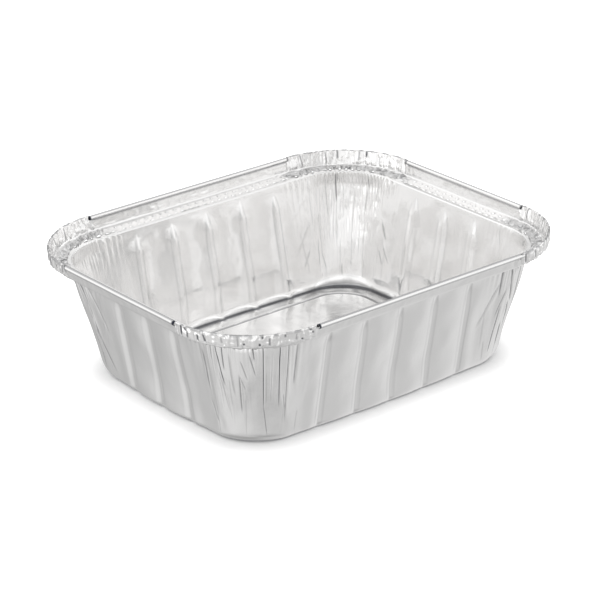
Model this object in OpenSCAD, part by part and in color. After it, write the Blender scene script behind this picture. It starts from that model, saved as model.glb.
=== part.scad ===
// Pressed foil tray: one sheet of aluminium foil with a fluted wall, gathered
// corners, a flat ledge, an upright lip and a bead rolled outward along each side.
// Millimetres. The origin is the middle of the base, on the table, with the rim up.
// Every section of the tray is drawn as insets from the rim's outline and heights.

/* [Rim] */
// Length over the rolled bead
rim_length = 145; // [138:0.5:158]
// Width over the rolled bead
rim_width = 118.6; // [112:0.2:130]
// Height from the table to the top of the bead
tray_height = 44.2; // [36:0.1:58]
// Corner radius of the rim, seen from above
rim_corner_r = 30.5; // [26:0.5:33]
// Outer diameter of the rolled bead
bead_d = 1.8; // [1.4:0.1:2.6]
// Angle that the bead is rolled through, from the lip over the top
bead_turn = 305; // [240:5:320]
// Angle by which the bead bulges in over the top of the lip
bead_overhang = 35; // [0:5:60]
// Height of the flattened hem at the corners
hem_height = 3.8; // [2.5:0.1:4.6]
// Width of the flattened hem's fold
hem_fold = 0.6; // [0.4:0.05:1]
// How far the hem flares out at the corners, where no bead holds it
hem_flare = 0.6; // [0:0.1:1]

/* [Lip and ledge] */
// Height of the bead's top above the ledge
lip_height = 5.3; // [4.8:0.1:8]
// How far the lip leans out between the ledge and the bead
lip_lean = 0.6; // [0:0.1:1.5]
// Width of the flat ledge
ledge_width = 6.6; // [4:0.1:9]

/* [Wall] */
// How far the foot of the wall lies inside the ledge's inner edge
wall_taper = 7.9; // [4:0.1:10]
// Corner radius of the wall where it meets the base
base_corner_r = 15; // [12:0.5:19]
// Radius between wall and base along the sides
foot_r = 3; // [2:0.25:5]
// Radius between wall and base in the corners
corner_foot_r = 5; // [3:0.25:8]

/* [Flutes] */
// Distance between flutes along a side
flute_pitch = 14.5; // [11:0.25:18]
// Width of a flute at its mouth
flute_width = 5; // [3:0.1:6]
// Width of a flute at its bottom
flute_bottom = 2.2; // [1:0.1:2.8]
// How far a flute is pressed into the tray
flute_depth = 1.3; // [0.5:0.05:2]
// Plain band between the ledge and the flutes
plain_band = 2.4; // [1:0.1:5]
// Length over which a flute deepens below the plain band
flute_runout = 3.5; // [2:0.25:6]
// Least distance from the last flute to the gathered corner
flute_margin = 2; // [1:0.25:5]

/* [Gathered corners] */
// Gathers in each corner
gathers = 15; // [8:1:16]
// Depth of the gathers in the wall
gather_depth = 0.8; // [0.2:0.05:1.2]
// Depth of the gathers in the ledge
ledge_gather = 0.5; // [0:0.05:0.8]
// Depth of the gathers in the lip and its hem
lip_gather = 0.4; // [0:0.05:0.6]

/* [Base] */
// Width of the flat ring that the tray stands on
foot_width = 3.2; // [1:0.1:5]
// Run of the rise from that ring to the top of the ridge
step_run = 0.9; // [0.6:0.1:2]
// Height of the ridge around the base panel
ridge_height = 0.9; // [0.6:0.1:3]
// Run from the ridge down to the panel
ridge_run = 0.9; // [0.6:0.1:2]
// Height of the base panel inside the ridge
panel_rise = 0.4; // [0.2:0.1:2]

/* [Foil] */
// Thickness of the foil
foil = 0.09; // [0.06:0.01:0.14]

/* [Hidden] */
half_length = rim_length / 2;
half_width = rim_width / 2;
bead_r = (bead_d - foil) / 2;
bead_inset = bead_d / 2;
lip_inset = bead_inset + bead_r * cos(bead_overhang);
ledge_outer = lip_inset + lip_lean;
ledge_inner = ledge_outer + ledge_width;
ledge_z = tray_height - lip_height;
// The wall's straight line is drawn down to the table, where the foot's radius cuts it off
base_inset = ledge_inner + wall_taper;
wall_lean = atan(wall_taper / ledge_z);
flute_top_z = ledge_z - plain_band;
flute_full_z = flute_top_z - flute_runout;
// Corner radius of the wall's top, and the middle points of the corners' arcs
ledge_corner_r = rim_corner_r - ledge_inner;
base_corner_x = half_length - base_inset - base_corner_r;
base_corner_y = half_width - base_inset - base_corner_r;
// Steps round the bead and over the hem, and the hem's free edge, which leans back to the lip
rim_steps = 5;
hem_edge = 0.7 * hem_fold;
// Number of flutes on each side of a side's middle
flutes_long = floor((base_corner_x - flute_margin - flute_width / 2) / flute_pitch);
flutes_short = floor((base_corner_y - flute_margin - flute_width / 2) / flute_pitch);

// Columns: where the sheet is cut by upright planes, counter-clockwise from above.
// A side column is [side, 0, distance along the side], or [side, 0, 0, -1 or 1] at its ends.
// A corner column is [side before it, 1, angle round the corner, gather sign and size].
function flute_columns(side, count) = [
    for (i = [-count:count], edge = [-flute_width, -flute_bottom, flute_bottom, flute_width])
        [side, 0, i * flute_pitch + edge / 2]
];
function side_columns(side) = concat(
    [[side, 0, 0, -1]],
    flute_columns(side, side % 2 == 0 ? flutes_short : flutes_long),
    [[side, 0, 0, 1]]
);
// Gathers turn in and out by turns, and no two next to each other are equally deep
gather_spread = 0.28;
function gather_size(side, k) = (k % 2 == 0 ? 1 : -1) * (1 - gather_spread + gather_spread * sin(97 * k + 130 * side));
function corner_columns(side) = [
    for (k = [0:2 * gathers - 1])
        [side, 1, 90 * (k + 0.5) / (2 * gathers), gather_size(side, k)]
];
columns = [for (side = [0:3]) each concat(side_columns(side), corner_columns(side))];
n = len(columns);

// The share of the corner's shape that a column has: 0 along a side, 1 in a corner's middle
function corner_share(c) = c[1] == 0 ? 0 : sin(2 * c[2]);

// One section of the rim, from the foil's free edge to the top of the lip
function ring_point(inset, z, r, angle) = [inset - r * cos(angle), z + r * sin(angle)];
function bead_rows() = [
    for (i = [0:rim_steps])
        ring_point(
            bead_inset, tray_height - bead_d / 2, bead_r,
            180 + bead_overhang - bead_turn * (1 - i / rim_steps)
        )
];
function hem_rows() = let (top_inset = lip_inset - hem_flare) concat(
    [[top_inset - hem_edge, tray_height - hem_height]],
    [[top_inset - hem_fold, tray_height - hem_height / 2]],
    [for (i = [2:rim_steps])
        ring_point(
            top_inset - hem_fold / 2, tray_height - (hem_fold + foil) / 2, hem_fold / 2,
            180 * (i - 2) / (rim_steps - 2)
        )]
);

// Inset of the wall's straight line at height z
function wall_inset(z) = ledge_inner + (ledge_z - z) * tan(wall_lean);

// One section of the wall and base, from the foot of the lip to the edge of the base panel.
// The foot is an arc that touches both the wall and the table.
function foot_radius(c) = foot_r + (corner_foot_r - foot_r) * corner_share(c);
function foot_reach(r) = r / tan((90 + wall_lean) / 2);
function foot_point(r, angle) =
    ring_point(base_inset + foot_reach(r), r + foil / 2, r, -angle);
// The step up to the ridge starts where the flat ring ends
step_inset = base_inset + foot_reach(foot_r) + foot_width;
ridge_inset = step_inset + step_run;
// Corner radius of the step, large enough to leave the ring its width in the corners too
step_corner_r = base_corner_r - (step_inset - base_inset)
    + (foot_reach(corner_foot_r) - foot_reach(foot_r)) / (sqrt(2) - 1);
function body_rows(c) =
    let (r = foot_radius(c), foot_top = foot_point(r, wall_lean)) [
        [ledge_outer, ledge_z],
        [ledge_inner, ledge_z],
        [wall_inset(flute_top_z), flute_top_z],
        [wall_inset(flute_full_z), flute_full_z],
        [wall_inset((flute_full_z + foot_top[1]) / 2), (flute_full_z + foot_top[1]) / 2],
        foot_top,
        foot_point(r, (90 + wall_lean) / 2),
        foot_point(r, 90),
        [step_inset, foil / 2],
        [ridge_inset, ridge_height],
        [ridge_inset + ridge_run, panel_rise]
    ];
function section_rows(c) = concat(c[1] == 0 ? bead_rows() : hem_rows(), body_rows(c));

// How much of a flute, and how deep a gather, each row has
flute_share = [0, 0, 0, 0, 0, 0, 0, 0, 0, 1, 1, 0.9, 0.3, 0, 0, 0, 0];
gather_in = concat(
    [for (i = [0:rim_steps]) lip_gather],
    [lip_gather / 2, ledge_gather],
    gather_depth * [0.7, 1, 1, 0.8, 0.35, 0, 0, 0, 0]
);
gather_up = concat([for (i = [0:rim_steps]) 0], ledge_gather * [0.6, 0.6], [for (i = [0:8]) 0]);
rows = len(flute_share);
// Rows below the ledge, rows that use every second column because nothing is pressed into
// them, and rows of the step and the panel
first_wall_row = 8;
first_plain_row = 13;
first_step_row = 14;

// A flute's depth at distance u along its side: full over its bottom, none outside its mouth
function flute_at(u) =
    let (d = abs(u - flute_pitch * round(u / flute_pitch)))
    flute_depth * max(0, min(1, (flute_width / 2 - d) / (flute_width - flute_bottom) * 2));
function pressed_in(c, row) = c[1] == 0
    ? (len(c) == 3 ? flute_share[row] * flute_at(c[2]) : 0)
    : gather_in[row] * c[3];
function pressed_up(c, row) = c[1] == 0 ? 0 : gather_up[row] * c[3];

// Corner arc of the outline that lies inset from the rim, at height z
function corner_radius(row, inset, z) =
    row < first_wall_row ? rim_corner_r - inset
    : row >= first_step_row ? step_corner_r - (inset - step_inset)
    : ledge_corner_r + (base_corner_r - ledge_corner_r) * (ledge_z - z) / ledge_z
        - max(0, inset - base_inset);
// Place in plan and height of a column's point in a row, given its outline and its own inset and height
function placed(c, row, outline_inset, outline_z, inset, z) =
    let (
        arc = corner_radius(row, outline_inset, outline_z),
        cx = half_length - outline_inset - arc,
        cy = half_width - outline_inset - arc,
        r = arc + outline_inset - inset,
        side = c[0],
        corner_x = (side == 0 || side == 3) ? cx : -cx,
        corner_y = side < 2 ? cy : -cy,
        angle = 90 * side + c[2],
        end = side % 2 == 0 ? cy : cx,
        along = len(c) == 4 ? c[3] * end : c[2],
        out = (side % 2 == 0 ? cx : cy) + r
    )
    c[1] == 1
        ? [corner_x + r * cos(angle), corner_y + r * sin(angle), z]
        : [out * cos(90 * side) - along * sin(90 * side), out * sin(90 * side) + along * cos(90 * side), z];

// Directions across the sheet in the section's plane, pointing out of and under the tray.
// Both edges of the ring that the tray stands on point straight down, so that it is flat.
function unit(v) = v / norm(v);
function across(a, b) = let (d = unit(b - a)) [d[1], -d[0]];
function row_normal(points, row) =
    row == first_plain_row || row == first_step_row
        ? [0, -1]
        : across(points[max(0, row - 1)], points[min(rows - 1, row + 1)]);

// Points of one face of the foil: side_of_sheet is 1 for the outside and -1 for the inside
function skin_ring(sections, row, side_of_sheet) = [
    for (i = [0:(row < first_plain_row ? 1 : 2):n - 1])
        let (
            c = columns[i],
            mid = sections[i][row],
            offset = side_of_sheet * foil / 2 * row_normal(sections[i], row)
        )
        placed(
            c, row, mid[0], mid[1],
            mid[0] + pressed_in(c, row) + offset[0],
            mid[1] + pressed_up(c, row) + offset[1]
        )
];
function skin_points(sections, side_of_sheet) = concat(
    [for (row = [0:rows - 1]) each skin_ring(sections, row, side_of_sheet)],
    [[0, 0, panel_rise - side_of_sheet * foil / 2]]
);

// Faces of one skin, as triangles between neighbouring rings
fine = first_plain_row * n;
coarse = n / 2;
skin_count = fine + (rows - first_plain_row) * coarse + 1;
function ring_index(row, i) = row < first_plain_row
    ? row * n + (i % n)
    : fine + (row - first_plain_row) * coarse + (i % coarse);
function quad(a, b, c, d) = [[a, b, c], [a, c, d]];
function fine_band(row) = [
    for (i = [0:n - 1])
        each quad(ring_index(row, i), ring_index(row, i + 1), ring_index(row + 1, i + 1), ring_index(row + 1, i))
];
function halving_band(row) = [
    for (i = [0:coarse - 1])
        let (
            a = ring_index(row, 2 * i),
            b = ring_index(row, 2 * i + 1),
            c = ring_index(row, 2 * i + 2),
            d = ring_index(row + 1, i + 1),
            e = ring_index(row + 1, i)
        )
        each [[a, b, e], [b, d, e], [b, c, d]]
];
function coarse_band(row) = [
    for (i = [0:coarse - 1])
        each quad(ring_index(row, i), ring_index(row, i + 1), ring_index(row + 1, i + 1), ring_index(row + 1, i))
];
function middle_fan() = [
    for (i = [0:coarse - 1]) [ring_index(rows - 1, i), ring_index(rows - 1, i + 1), skin_count - 1]
];
skin_faces = concat(
    [for (row = [0:first_plain_row - 2]) each fine_band(row)],
    halving_band(first_plain_row - 1),
    [for (row = [first_plain_row:rows - 2]) each coarse_band(row)],
    middle_fan()
);
function turned(faces) = [for (f = faces) [f[0], f[2], f[1]]];
function shifted(faces, by) = [for (f = faces) [f[0] + by, f[1] + by, f[2] + by]];
// The strip along the foil's free edge that joins its two skins
edge_faces = [
    for (i = [0:n - 1])
        each quad(ring_index(0, i + 1), ring_index(0, i), ring_index(0, i) + skin_count, ring_index(0, i + 1) + skin_count)
];

module foil_tray() {
    sections = [for (c = columns) section_rows(c)];
    color("#d8dadc")
        polyhedron(
            points = concat(skin_points(sections, 1), skin_points(sections, -1)),
            faces = concat(skin_faces, shifted(turned(skin_faces), skin_count), edge_faces)
        );
}

foil_tray();
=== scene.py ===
import math
import bpy
import numpy as np
from mathutils import Matrix, Vector


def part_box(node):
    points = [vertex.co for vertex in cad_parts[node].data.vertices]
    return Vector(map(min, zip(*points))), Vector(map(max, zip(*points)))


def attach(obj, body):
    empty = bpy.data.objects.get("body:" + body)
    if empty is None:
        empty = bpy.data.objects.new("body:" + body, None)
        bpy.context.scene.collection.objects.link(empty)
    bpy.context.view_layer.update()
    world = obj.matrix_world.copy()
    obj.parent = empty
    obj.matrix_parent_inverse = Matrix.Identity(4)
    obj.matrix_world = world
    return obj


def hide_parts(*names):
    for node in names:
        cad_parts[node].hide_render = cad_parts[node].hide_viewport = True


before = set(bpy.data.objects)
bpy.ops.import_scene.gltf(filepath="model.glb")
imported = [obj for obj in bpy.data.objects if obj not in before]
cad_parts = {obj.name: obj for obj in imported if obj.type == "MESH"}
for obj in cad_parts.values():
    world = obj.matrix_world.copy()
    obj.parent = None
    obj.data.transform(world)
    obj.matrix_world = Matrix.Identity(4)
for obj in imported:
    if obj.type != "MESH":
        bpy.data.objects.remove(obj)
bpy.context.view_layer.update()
trayLow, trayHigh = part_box("foil_tray")
root = "root"
mm = 0.001  # shapes are worked out in millimetres and turned into metres at the end

# The tray's driving sizes, in millimetres. Its overall size is the frame's.
tray = {
    "halfLength": (trayHigh.x - trayLow.x) / 2 / mm,
    "halfWidth": (trayHigh.y - trayLow.y) / 2 / mm,
    "height": trayHigh.z / mm,
    "rimCornerRadius": 30.5,
    "beadDiameter": 1.8,
    "beadOverhang": 35,  # degrees that the bead's inner seam lies below its middle
    "hemFlare": 0.6,
    "lipHeight": 5.3,
    "lipLean": 0.6,
    "ledgeWidth": 6.6,
    "wallTaper": 7.9,
    "ledgeNarrows": 2.2,  # how much tighter the wall's top turns than the rim's own curve
    "baseCornerRadius": 15.0,
    "footRadius": 3.0,
    "cornerFootRadius": 5.0,
    "footWidth": 3.2,
    "stepRun": 0.9,
    "ridgeHeight": 0.9,
    "ridgeRun": 0.9,
    "panelRise": 0.4,
    "foil": 0.09,
    "flutePitch": 14.5,
    "flutesLong": 2,  # on each side of the middle
    "flutesShort": 1,
    "fluteMargin": 2.5,  # the flutes keep their pitch this far beyond the outermost one's middle
}
print("sizes read from the frame:", {name: round(value, 2) for name, value in tray.items()})

# What follows from them. Insets are from the rim's outermost edge.
beadRadius = (tray["beadDiameter"] - tray["foil"]) / 2
overhang = math.radians(tray["beadOverhang"])
lipInset = tray["beadDiameter"] / 2 + beadRadius * math.cos(overhang)
seamHeight = tray["height"] - tray["beadDiameter"] / 2 - beadRadius * math.sin(overhang)
ledgeOuter = lipInset + tray["lipLean"]
ledgeInner = ledgeOuter + tray["ledgeWidth"]
ledgeHeight = tray["height"] - tray["lipHeight"]
baseInset = ledgeInner + tray["wallTaper"]
wallLean = math.atan(tray["wallTaper"] / ledgeHeight)
sideEnd = {0: tray["halfWidth"] - tray["rimCornerRadius"], 1: tray["halfLength"] - tray["rimCornerRadius"]}


def footReach(radius):
    # how far an arc between the leaning wall and the floor reaches along each: r / tan of half their angle
    return radius / math.tan((math.pi / 2 + wallLean) / 2)


stepInset = baseInset + footReach(tray["footRadius"]) + tray["footWidth"]
ridgeInset = stepInset + tray["stepRun"]
panelInset = ridgeInset + tray["ridgeRun"]
cornerGain = footReach(tray["cornerFootRadius"]) - footReach(tray["footRadius"])
stepCornerRadius = tray["baseCornerRadius"] - (stepInset - baseInset) + cornerGain / (math.sqrt(2) - 1)


def smooth(x):
    # 0 below 0, 1 above 1, and the cubic 3x^2 - 2x^3 between
    x = np.clip(x, 0, 1)
    return x * x * (3 - 2 * x)


def tent(x):
    # 1 at 0, falling in straight lines to 0 at -1 and 1
    return np.maximum(0, 1 - np.abs(x))


def lattice(u, v, seed, wrap=0):
    # smooth noise from -1 to 1: random values on whole points, blended by the cubic; wrap makes u periodic
    size = 512
    values = np.random.default_rng(seed).uniform(-1, 1, (size, size))
    u0, v0 = np.floor(u).astype(int), np.floor(v).astype(int)
    fu, fv = smooth(u - u0), smooth(v - v0)
    across = wrap if wrap else size
    a = values[u0 % across, v0 % size]
    b = values[(u0 + 1) % across, v0 % size]
    c = values[u0 % across, (v0 + 1) % size]
    d = values[(u0 + 1) % across, (v0 + 1) % size]
    return (a * (1 - fu) + b * fu) * (1 - fv) + (c * (1 - fu) + d * fu) * fv


def ridged(u, v, seed, wrap=0):
    # sharp creases between facets: twice the noise's distance from zero, less about its mean
    return 2 * np.abs(lattice(u, v, seed, wrap)) - 0.6


class Columns:
    # Places round the tray's rim: straight stretches and quarter arcs, counter-clockwise from above. along
    # is the distance from the side's middle, half the side's half length, angle the outward direction, and
    # arc the running length at the rim.
    def __init__(self, straightStep, endStep, cornerStep, endZone=12):
        self.quarter = tray["rimCornerRadius"] * math.pi / 2
        side, along, angle, corner = [], [], [], []
        for k in range(4):
            half = sideEnd[k % 2]
            middle = half - endZone
            endCount = max(2, round(endZone / endStep))
            middleCount = max(2, round(2 * middle / straightStep))
            stops = np.concatenate([
                np.linspace(-half, -middle, endCount, endpoint=False),
                np.linspace(-middle, middle, middleCount, endpoint=False),
                np.linspace(middle, half, endCount + 1),
            ])
            side.append(np.full(len(stops), k))
            along.append(stops)
            angle.append(np.full(len(stops), k * math.pi / 2))
            corner.append(np.zeros(len(stops)))
            cornerCount = round(self.quarter / cornerStep)
            turn = (np.arange(cornerCount) + 1) / (cornerCount + 1) * math.pi / 2
            side.append(np.full(cornerCount, k))
            along.append(np.full(cornerCount, half))
            angle.append(k * math.pi / 2 + turn)
            corner.append(turn)
        self.side = np.concatenate(side)
        self.along = np.concatenate(along)
        self.angle = np.concatenate(angle)
        turn = np.concatenate(corner)
        self.half = np.where(self.side % 2 == 1, sideEnd[1], sideEnd[0])
        self.isCorner = turn > 0
        self.cornerShare = np.sin(2 * turn) * self.isCorner
        start = np.zeros(5)
        for k in range(4):
            start[k + 1] = start[k] + 2 * sideEnd[k % 2] + self.quarter
        self.arc = start[self.side] + self.along + self.half + turn * tray["rimCornerRadius"]
        self.total = start[4]
        self.cornerStart = start[1:] - self.quarter

    def only(self, chosen):
        # the same places, cut down to the chosen columns
        part = object.__new__(Columns)
        part.__dict__.update(self.__dict__)
        for name in ("side", "along", "angle", "half", "isCorner", "cornerShare", "arc"):
            setattr(part, name, getattr(self, name)[chosen])
        return part

    def place(self, inset, z, radius, inward):
        # Points at the given insets, heights and corner radii, all (rows, columns), moved in against the
        # outward direction. Beyond the flutes a side's points close up to its end.
        endX = tray["halfLength"] - inset - radius
        endY = tray["halfWidth"] - inset - radius
        odd = self.side % 2 == 1
        end = np.where(odd, endX, endY)
        fixed = np.where(odd, tray["flutesLong"], tray["flutesShort"]) * tray["flutePitch"]
        fixed = fixed + tray["fluteMargin"]
        size = np.abs(self.along)
        closed = np.where(size <= fixed, size, fixed + (size - fixed) * (end - fixed) / (self.half - fixed))
        closed = np.sign(self.along) * closed
        outward = np.where(odd, endY, endX) + radius - inward
        c, s = np.cos(self.side * math.pi / 2), np.sin(self.side * math.pi / 2)
        straight = np.stack([outward * c - closed * s, outward * s + closed * c], -1)
        signX = np.where((self.side == 0) | (self.side == 3), 1, -1)
        signY = np.where(self.side < 2, 1, -1)
        bent = np.stack([
            signX * endX + (radius - inward) * np.cos(self.angle),
            signY * endY + (radius - inward) * np.sin(self.angle),
        ], -1)
        plan = np.where(self.isCorner[:, None], bent, straight)
        return np.concatenate([plan, z[..., None]], -1)

    def fromCorner(self, corner):
        # running length at the rim from the middle of one corner
        x = self.arc - self.cornerStart[corner] - self.quarter / 2
        return (x + self.total / 2) % self.total - self.total / 2

    def cornerZone(self, reach):
        # 1 in the corners, falling to 0 along each side over reach
        return smooth(1 - np.where(self.isCorner, 0, self.half - np.abs(self.along)) / reach)

    def around(self, cells):
        # running length round the whole rim, as a number of cells
        return self.arc / self.total * cells


def bySide(columns, pair):
    # the first value on the short sides, the second on the long ones
    return np.where(columns.side % 2 == 1, pair[1], pair[0])


def roundedPath(points, radii, lineRows, arcRows):
    # A section through given points whose bends are arcs. Points and radii may be arrays over the columns.
    # An arc starts r / tan(half the angle) before its point and ends as far behind it. Gives the path, with
    # rows first, and each row's place in the list of points: 2.25 to 2.75 is the straight stretch from point
    # 2 to point 3.
    size = max(np.size(v) for p in points for v in p)
    points = [np.stack([np.broadcast_to(v, size) for v in p], -1).astype(float) for p in points]
    path, place = [], []
    leave = points[0]
    for i in range(1, len(points)):
        b = points[i]
        before = (points[i - 1] - b) / np.linalg.norm(points[i - 1] - b, axis=-1, keepdims=True)
        last = i == len(points) - 1
        if last:
            arrive = b
        else:
            after = (points[i + 1] - b) / np.linalg.norm(points[i + 1] - b, axis=-1, keepdims=True)
            half = np.arccos(np.clip((before * after).sum(-1), -1, 1))[:, None] / 2
            r = np.broadcast_to(radii[i], size)[:, None]
            arrive, depart = b + before * r / np.tan(half), b + after * r / np.tan(half)
        t = np.linspace(0, 1, lineRows[i - 1], endpoint=False)[:, None, None]
        path.append(leave * (1 - t) + arrive * t)
        place.append(i - 0.75 + 0.5 * t[:, 0, 0])
        if last:
            path.append(b[None])
            place.append([float(i)])
        else:
            middle = before + after
            centre = b + middle / np.linalg.norm(middle, axis=-1, keepdims=True) * r / np.sin(half)
            turn = np.pi - 2 * half
            t = np.linspace(0, 1, arcRows[i], endpoint=False)[:, None, None]
            bend = np.sin((1 - t) * turn) * (arrive - centre) + np.sin(t * turn) * (depart - centre)
            path.append(centre + bend / np.sin(turn))
            place.append(i - 0.25 + 0.5 * t[:, 0, 0])
            leave = depart
    return np.concatenate(path), np.concatenate(place)


def ledgeRadius(inset):
    # the plan corner radius at an inset on the lip and the ledge, which narrows in the corners
    share = smooth((inset - ledgeOuter) / tray["ledgeWidth"])
    return tray["rimCornerRadius"] - inset - tray["ledgeNarrows"] * share


def gridNormals(points, closed):
    # unit normals of a grid of points from its central differences; a closed grid wraps along the columns
    along = np.gradient(points, axis=1)
    if closed:
        along[:, 0] = (points[:, 1] - points[:, -1]) / 2
        along[:, -1] = (points[:, 0] - points[:, -2]) / 2
    down = np.gradient(points, axis=0)
    normal = np.cross(along, down)
    return normal / np.maximum(np.linalg.norm(normal, axis=2, keepdims=True), 1e-9)


def foilShell(points, normals, paintedShadeMarks, closed=False):
    # Both faces of a thin sheet whose middle is the grid of points, each half the foil's thickness out along
    # the normals, and the strips that close its edges. Gives positions, normals, painted shade values and
    # faces.
    rows, columns = points.shape[:2]
    offset = normals * tray["foil"] / 2
    places = np.concatenate([(points + offset).reshape(-1, 3), (points - offset).reshape(-1, 3)])
    facing = np.concatenate([normals.reshape(-1, 3), -normals.reshape(-1, 3)])
    marks = np.concatenate([paintedShadeMarks.ravel(), paintedShadeMarks.ravel()])
    index = np.arange(rows * columns).reshape(rows, columns)
    if closed:
        index = np.concatenate([index, index[:, :1]], 1)
    front = np.stack([index[:-1, 1:], index[1:, 1:], index[1:, :-1], index[:-1, :-1]], -1).reshape(-1, 4)
    other = index + rows * columns
    faces = [
        front, front[:, ::-1] + rows * columns,
        np.stack([index[0, 1:], index[0, :-1], other[0, :-1], other[0, 1:]], -1),
        np.stack([index[-1, :-1], index[-1, 1:], other[-1, 1:], other[-1, :-1]], -1),
    ]
    if not closed:
        faces.append(np.stack([index[:-1, 0], index[1:, 0], other[1:, 0], other[:-1, 0]], -1))
        faces.append(np.stack([index[1:, -1], index[:-1, -1], other[:-1, -1], other[1:, -1]], -1))
    return places, facing, marks, np.concatenate(faces)


def addObject(name, data):
    # a new object in the scene
    obj = bpy.data.objects.new(name, data)
    bpy.context.scene.collection.objects.link(obj)
    return obj


def makeObject(name, shells):
    # one mesh, in metres, from several shells, shaded by the normals worked out on their grids
    places, facing, marks = (np.concatenate([shell[k] for shell in shells]) for k in range(3))
    starts = np.cumsum([0] + [len(shell[0]) for shell in shells[:-1]])
    faces = np.concatenate([shell[3] + start for shell, start in zip(shells, starts)]).astype(np.int32)
    mesh = bpy.data.meshes.new(name)
    mesh.vertices.add(len(places))
    mesh.vertices.foreach_set("co", (places * mm).astype(np.float32).ravel())
    mesh.loops.add(faces.size)
    mesh.loops.foreach_set("vertex_index", faces.ravel())
    mesh.polygons.add(len(faces))
    mesh.polygons.foreach_set("loop_start", np.arange(0, faces.size, 4, dtype=np.int32))
    mesh.polygons.foreach_set("use_smooth", np.ones(len(faces), bool))
    mesh.update(calc_edges=True)
    # the painted shade marks, kept on the points for the material to darken the colour by
    mesh.attributes.new("paintedShade", "FLOAT", "POINT").data.foreach_set("value", marks.astype(np.float32))
    mesh.normals_split_custom_set_from_vertices(facing.tolist())
    print(name, "has", 2 * len(faces), "triangles")
    return addObject(name, mesh)


# One fold's form, in its own widths: a groove with a lower crest beside it
foldForm = {
    "travel": 0.6, "grooveHalf": 1.3, "crestPlace": 2.2, "crestHalf": 1.7, "crestHeight": 0.4, "fade": 0.3,
}


def pressedFolds(columns, z, corner, folds, width):
    # Single folds in one corner, each from its upper place and height to its lower ones. A fold is a sharp
    # groove, a tent across its line, beside a lower crest; both fade towards its ends. Gives how far the
    # foil goes in, and the painted shade in the groove, which stands for the shade that falls in it.
    x = columns.fromCorner(corner)
    field, groove = 0, 0
    form = foldForm
    over = form["fade"] / 2  # a fold ends this share of its length beyond its places
    for place, top, end, bottom, depth, dark in folds:
        down = (top - z) / (top - bottom)
        broad = width * math.hypot(1, (end - place) / (top - bottom))
        across = (x - place - (end - place) * down) / broad
        ends = smooth(np.minimum(down + over, 1 + over - down) / form["fade"])
        crest = form["crestHeight"] * tent((across - form["crestPlace"]) / form["crestHalf"])
        fold = tent(across / form["grooveHalf"]) - crest
        field = field + form["travel"] * depth * fold * ends
        # painted shade in the groove
        groove = np.maximum(groove, np.minimum(1.5 * tent(across), 1) * ends * dark)
    return field, groove


def scatteredFolds(options, seed):
    # a seeded list of folds like those above, leaning away from the corner's middle
    rng = np.random.default_rng(seed)
    folds = []
    for k in range(options["count"]):
        place = rng.uniform(-1, 1) * options["reach"]
        top = rng.uniform(*options["heights"])
        length = min(rng.uniform(*options["length"]), top - 3)
        lean = rng.normal(0, options["wander"]) + options["fan"] * place / options["reach"]
        depth = rng.uniform(*options["depth"])
        # how dark the fold's painted shade is
        dark = options["dark"] * rng.uniform(0, 1) ** 2
        folds.append((place, top, place + lean * length, top - length, depth * rng.choice([-1, 1]), dark))
    return folds


# The wall and the foot
wall = {
    "straightStep": 0.5, "endStep": 0.35, "cornerStep": 0.22,  # column spacing
    "lineRows": (1, 46, 3, 2, 1, 2), "arcRows": (0, 6, 9, 3, 5, 3),
    "topReach": 1.6, "panelReach": 0.8,  # how far the wall's sheet runs on under the ledge, and on the panel
    "topRadius": 0.5, "ringRadii": (0.45, 0.5, 0.5),
    # pairs are for the short sides and the long ones
    "grooveHalf": (2.5, 1.3), "grooveFlat": (0.6, 0.3), "grooveDepth": (0.30, 0.15),
    "grooveShade": (0.10, 0.20), "grooveEase": 1.2, "edgeWidth": 0.45,
    "plainBand": 2.2, "runout": 6.0,  # the flutes start this far under the ledge, and widen over this much
    "crown": (0.62, 0.85), "crownFade": 6,  # how far the wall bulges out between two flutes
    "bulge": 0.5, "bulgeFade": 12, "bulgeEnd": 5,  # and as a whole
    "bow": 1.1, "bowHeight": 13,  # how far the foot bows out between the corners, and up to what height
    "cornerBulge": 1.2,  # how far the corners' upper half bulges out
    "dents": 0.22, "dentCells": 60,
    "gathers": 24, "gatherTop": 0.40, "gatherLow": 0.02, "gatherReach": 11.0, "gatherWander": 2.2,
    "cell": 2.4,  # the corners' noise changes over this length
    "pleats": 0.13, "facets": 0.09, "wrinkles": 0.02, "mottles": 0.07,
    "calmNear": 0.35,  # how much shallower the gathers are in the corner towards the camera
    "oneCorner": (34, 8),  # one corner's own changes end this far from its middle, and fade over this much
    "foldWidth": 0.42, "smallWidth": 0.9, "foldReach": 14.0,
    # how dark the painted shade is along the foot and on the ring
    "footShade": 0.85, "ringShade": 0.6,
}
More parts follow.
